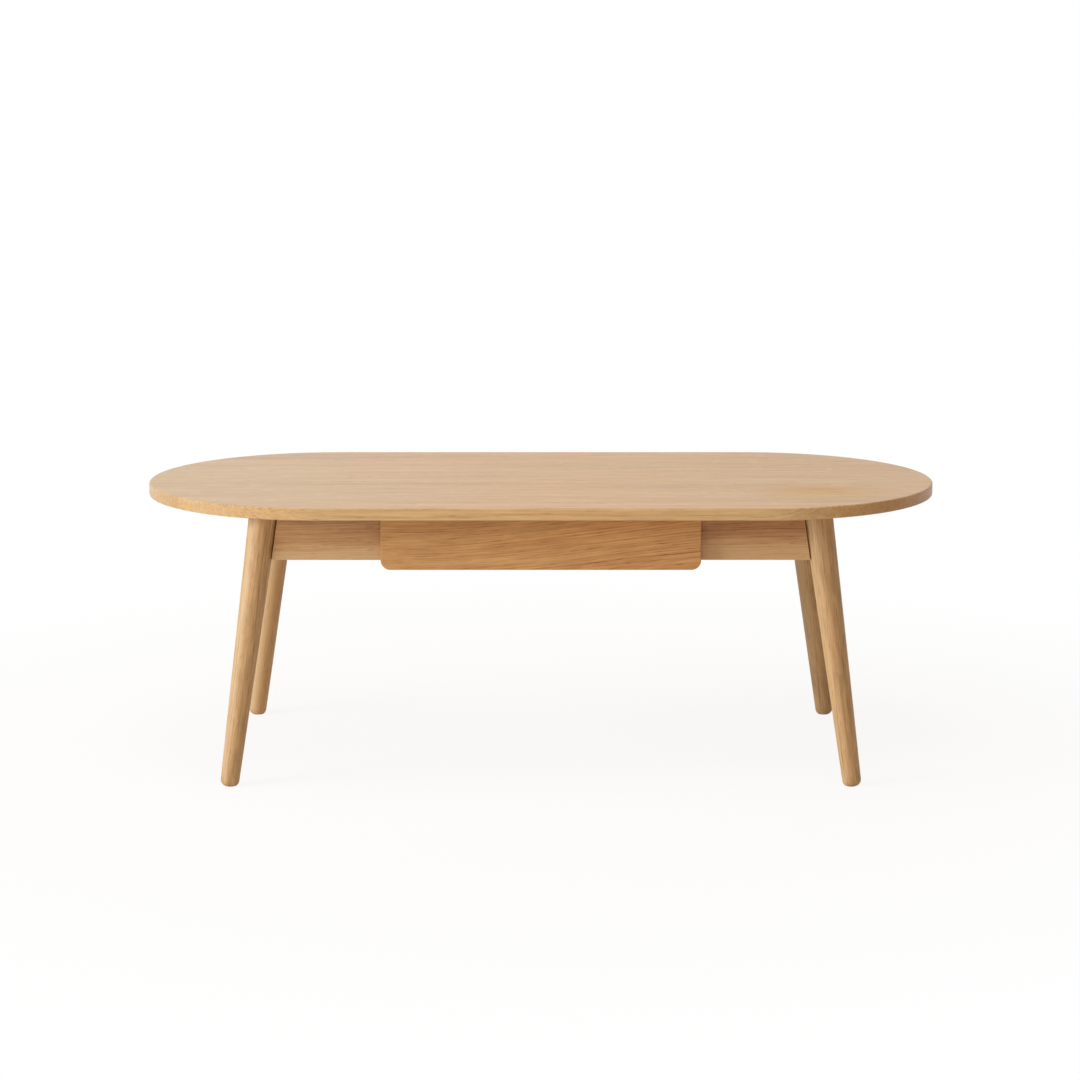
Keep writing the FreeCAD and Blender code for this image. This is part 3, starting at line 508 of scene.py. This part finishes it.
def dress_inside():
    """The bearers, the corner blocks, the dowels and the drawer's box."""
    for number, side in enumerate(("left", "right")):
        dress(f"drawer_bearer_{side}", pale_wood(f"beech_bearer_{side}", ALONG_Y, (number, 0.3, 0.3)))
        dress(f"drawer_side_{side}", pale_wood(f"birch_side_{side}", ALONG_Y, (2 + number, 0.2, 0.31)))
        for end, sign in (("front", -1), ("back", 1)):
            diagonal = Vector((2 * number - 1, -sign, 0)).normalized()
            name = f"corner_block_{end}_{side}"
            dress(name, pale_wood(f"beech_{name}", diagonal, (number, sign, 0.3)))
    dress("drawer_subfront", pale_wood("birch_subfront", ALONG_X, (0.3, -0.3, 0.3)))
    dress("drawer_back", pale_wood("birch_back", ALONG_X, (1.3, 0.3, 0.3)))
    dress("drawer_bottom", pale_wood("birch_bottom", ALONG_X, (2.3, 0.1, 0.25), tone=0.1))
    dress("rail_dowels", pale_wood("beech_rail_dowels", ALONG_X, (0, 0.1, 0.3)))
    dress("bearer_dowels", pale_wood("beech_bearer_dowels", ALONG_Y, (0, 0.1, 0.3)))


def dress_metal():
    """The slides with their cages and balls, and the screws."""
    plated = metal("plated_steel", PLATED_COLOR, 0.22, ALONG_Y)
    balls = metal("ball_steel", BALL_COLOR, 0.05, ALONG_Z)
    screws = metal("screw_steel", SCREW_COLOR, 0.28, ALONG_Z)
    for side in ("left", "right"):
        for node in ("slide_outer", "slide_inner", "ball_cage"):
            dress(f"{node}_{side}", plated)
        dress(f"slide_balls_{side}", balls)
    for node, body in SCREW_BODIES.items():
        add_screws(node, body, screws)


def separate_shells(mesh):
    """The corner points of each separate solid in a mesh."""
    work = bmesh.new()
    work.from_mesh(mesh)
    bmesh.ops.remove_doubles(work, verts=work.verts, dist=SAME_POINT)
    shells, seen = [], set()
    for start in work.verts:
        if start in seen:
            continue
        seen.add(start)
        shell, waiting = [], [start]
        while waiting:
            vert = waiting.pop()
            shell.append(vert.co.copy())
            neighbours = {edge.other_vert(vert) for edge in vert.link_edges} - seen
            seen |= neighbours
            waiting.extend(neighbours)
        shells.append(shell)
    work.free()
    return shells


def screw_outline(shell):
    """A turned screw's middle, the direction of its head, and its outline as (height, radius)."""
    points = numpy.array(shell)
    middle = points.mean(axis=0)
    spread = points - middle
    axis = numpy.linalg.eigh(spread.T @ spread)[1][:, -1]
    heights = spread @ axis
    radii = numpy.linalg.norm(spread - numpy.outer(heights, axis), axis=1)
    if heights[radii.argmax()] < (heights.min() + heights.max()) / 2:
        axis, heights = -axis, -heights
    places = zip(heights.round(5).tolist(), radii.round(5).tolist())
    outline = sorted(set(places))
    rings = [outline[0]] + [ring for ring in outline[1:] if ring[1] > SAME_POINT]
    return Vector(middle), Vector(axis), rings


def cross_outline(size):
    """The twelve corners of a cross, in order round it."""
    reach, half = CROSS_REACH * size, CROSS_HALF_WIDTH * size
    corners = []
    arm = [(reach, -half), (reach, half), (half, half)]
    for _ in range(4):
        corners += arm
        arm = [(-y, x) for x, y in arm]
    return corners


def turn_screw(work, shell):
    """Turn a CAD screw's own outline again, with a cross recess in its head."""
    middle, axis, rings = screw_outline(shell)
    side = axis.orthogonal().normalized()
    other = axis.cross(side)

    def loop(corners, height):
        return [work.verts.new(middle + side * x + other * y + axis * height) for x, y in corners]

    turns = [math.tau * step / SCREW_SIDES for step in range(SCREW_SIDES)]
    circle = [(math.cos(turn), math.sin(turn)) for turn in turns]
    loops = [
        loop([(radius * x, radius * y) for x, y in circle] if radius else [(0, 0)], height)
        for height, radius in rings
    ]
    for low, high in zip(loops, loops[1:]):
        join_loops(work, low, high, SCREW_SIDES)
    top, flat = rings[-1]
    mouth = loop(cross_outline(flat), top)
    bottom = loop(cross_outline(flat * CROSS_TAPER), top - flat * CROSS_DEPTH)
    rim = loops[-1] + mouth
    for corners in tessellate_polygon([[vert.co for vert in loops[-1]], [vert.co for vert in mouth]]):
        work.faces.new([rim[corner] for corner in corners])
    join_loops(work, mouth, bottom, len(mouth))
    work.faces.new(bottom)


def join_loops(work, low, high, count):
    """A band of faces between two rings of corners, either of which may be a single point."""
    for step in range(count):
        after = (step + 1) % count
        below = [low[step % len(low)], low[after % len(low)]]
        above = [high[after % len(high)], high[step % len(high)]]
        work.faces.new(list(dict.fromkeys(below + above)))


def add_screws(node, body, material):
    """Stand cross-headed screws in the place of a CAD node's plain ones."""
    work = bmesh.new()
    for shell in separate_shells(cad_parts[node].data):
        turn_screw(work, shell)
    bmesh.ops.recalc_face_normals(work, faces=work.faces)
    mesh = bpy.data.meshes.new(f"cross_{node}")
    work.to_mesh(mesh)
    work.free()
    mesh.polygons.foreach_set("use_smooth", [True] * len(mesh.polygons))
    mesh.set_sharp_from_angle(angle=SHARP_ANGLE)
    mesh.materials.append(material)
    piece = bpy.data.objects.new(f"cross_{node}", mesh)
    bpy.context.scene.collection.objects.link(piece)
    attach(piece, body)
    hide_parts(node)


def seen_directly(tree):
    """1 for rays from the camera, mirrors and glass, 0 for rays that carry light."""
    rays = tree.add("ShaderNodeLightPath").outputs
    mirrored = tree.math("MAXIMUM", rays["Is Glossy Ray"], rays["Is Transmission Ray"])
    return tree.math("MAXIMUM", rays["Is Camera Ray"], mirrored)


def add_floor():
    """A white floor with a faint shadow near the table, pure white far off and clear from below."""
    mesh = bpy.data.meshes.new("floor")
    corners = [(FLOOR_HALF * x, FLOOR_HALF * y, 0) for x, y in ((-1, -1), (1, -1), (1, 1), (-1, 1))]
    mesh.from_pydata(corners, [], [(0, 1, 2, 3)])
    floor = bpy.data.objects.new("floor", mesh)
    bpy.context.scene.collection.objects.link(floor)
    material = bpy.data.materials.new("floor_paper")
    material.use_nodes = True
    material.node_tree.nodes.clear()
    tree = Tree(material.node_tree)
    paper = tree.add("ShaderNodeBsdfDiffuse", {"Color": FLOOR_PAPER}).outputs[0]
    white = tree.add("ShaderNodeEmission", {"Color": WHITE, "Strength": 1.0}).outputs[0]
    distance = tree.vector_math("LENGTH", tree.add("ShaderNodeTexCoord").outputs["Object"])
    whitening = tree.fade(distance, WHITENING_FROM, WHITENING_TO, LEAST_WHITENING, 1.0)
    share = tree.math("MULTIPLY", seen_directly(tree), whitening)
    above = tree.add("ShaderNodeMixShader", {0: share, 1: paper, 2: white}).outputs[0]
    below = tree.add("ShaderNodeBsdfTransparent").outputs[0]
    from_below = tree.add("ShaderNodeNewGeometry").outputs["Backfacing"]
    surface = tree.add("ShaderNodeMixShader", {0: from_below, 1: above, 2: below}).outputs[0]
    tree.add("ShaderNodeOutputMaterial", {"Surface": surface})
    mesh.materials.append(material)


def add_world():
    """A white surrounding that lights the table only as strongly and as warmly as a room does."""
    world = bpy.data.worlds.new("studio")
    bpy.context.scene.world = world
    world.use_nodes = True
    world.node_tree.nodes.clear()
    tree = Tree(world.node_tree)
    seen = seen_directly(tree)
    light = tree.math("MULTIPLY_ADD", seen, 1.0 - ROOM_STRENGTH, ROOM_STRENGTH)
    color = tree.mix(seen, ROOM_TINT, WHITE)
    sky = tree.add("ShaderNodeBackground", {"Color": color, "Strength": light}).outputs[0]
    tree.add("ShaderNodeOutputWorld", {"Surface": sky})


def add_lamp(name, place, target, size, power, color=WHITE, glare=True, sheen_on=None):
    """A soft rectangular lamp.

    Without glare it lights surfaces but isn't mirrored in them. With sheen_on it is only mirrored, and only
    in the nodes that are named.
    """
    lamp = bpy.data.lights.new(name, "AREA")
    lamp.color = color[:3]
    lamp.shape = "RECTANGLE"
    lamp.size, lamp.size_y = size
    lamp.energy = power
    item = bpy.data.objects.new(name, lamp)
    item.location = place
    item.rotation_euler = (Vector(target) - Vector(place)).to_track_quat("-Z", "Y").to_euler()
    item.visible_glossy = glare
    bpy.context.scene.collection.objects.link(item)
    if sheen_on:
        item.visible_diffuse = False
        receivers = bpy.data.collections.new(f"{name}_receivers")
        for node in sheen_on:
            receivers.objects.link(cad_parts[node])
        item.light_linking.receiver_collection = receivers


def add_lamps():
    """A window to the left, a soft lamp overhead, and what the room and the floor give back."""
    add_lamp("window_left", place=(-6.8, -2.9, 2.75), target=TABLE_MIDDLE, size=(3.2, 2.8), power=408,
             glare=False)
    add_lamp("window_sheen", place=(-6.8, -2.4, 1.3), target=TABLE_MIDDLE, size=(5.5, 2.5), power=560,
             color=WINDOW_TINT, sheen_on=LEG_TONES)
    add_lamp("overhead", place=(-0.4, -0.6, 3.2), target=TOP_MIDDLE, size=(3.0, 2.2), power=42)
    add_lamp("back_fill", place=(1.0, 4.2, 1.4), target=TABLE_MIDDLE, size=(3.0, 1.6), power=45,
             color=ROOM_TINT, glare=False)
    add_lamp("floor_bounce", place=(-0.4, -2.4, 0.03), target=TOP_MIDDLE, size=(2.6, 1.4), power=10,
             color=ROOM_TINT)


def add_camera():
    """The photograph's own view."""
    camera = bpy.data.cameras.new("camera")
    camera.sensor_width = SENSOR_WIDTH
    camera.lens = FOCAL_PIXELS / FRAME_PIXELS * SENSOR_WIDTH
    camera.shift_x, camera.shift_y = (pixels / FRAME_PIXELS for pixels in SHIFT_PIXELS)
    camera.clip_end = CAMERA_REACH
    item = bpy.data.objects.new("camera", camera)
    item.location = CAMERA_PLACE
    item.rotation_euler = (math.radians(90 - CAMERA_PITCH), 0, 0)
    bpy.context.scene.collection.objects.link(item)
    bpy.context.scene.camera = item


FIGURE = oak_figure()
dress_oak()
dress_inside()
dress_metal()
add_floor()
add_world()
add_lamps()
add_camera()
bpy.context.scene.view_settings.view_transform = "Standard"
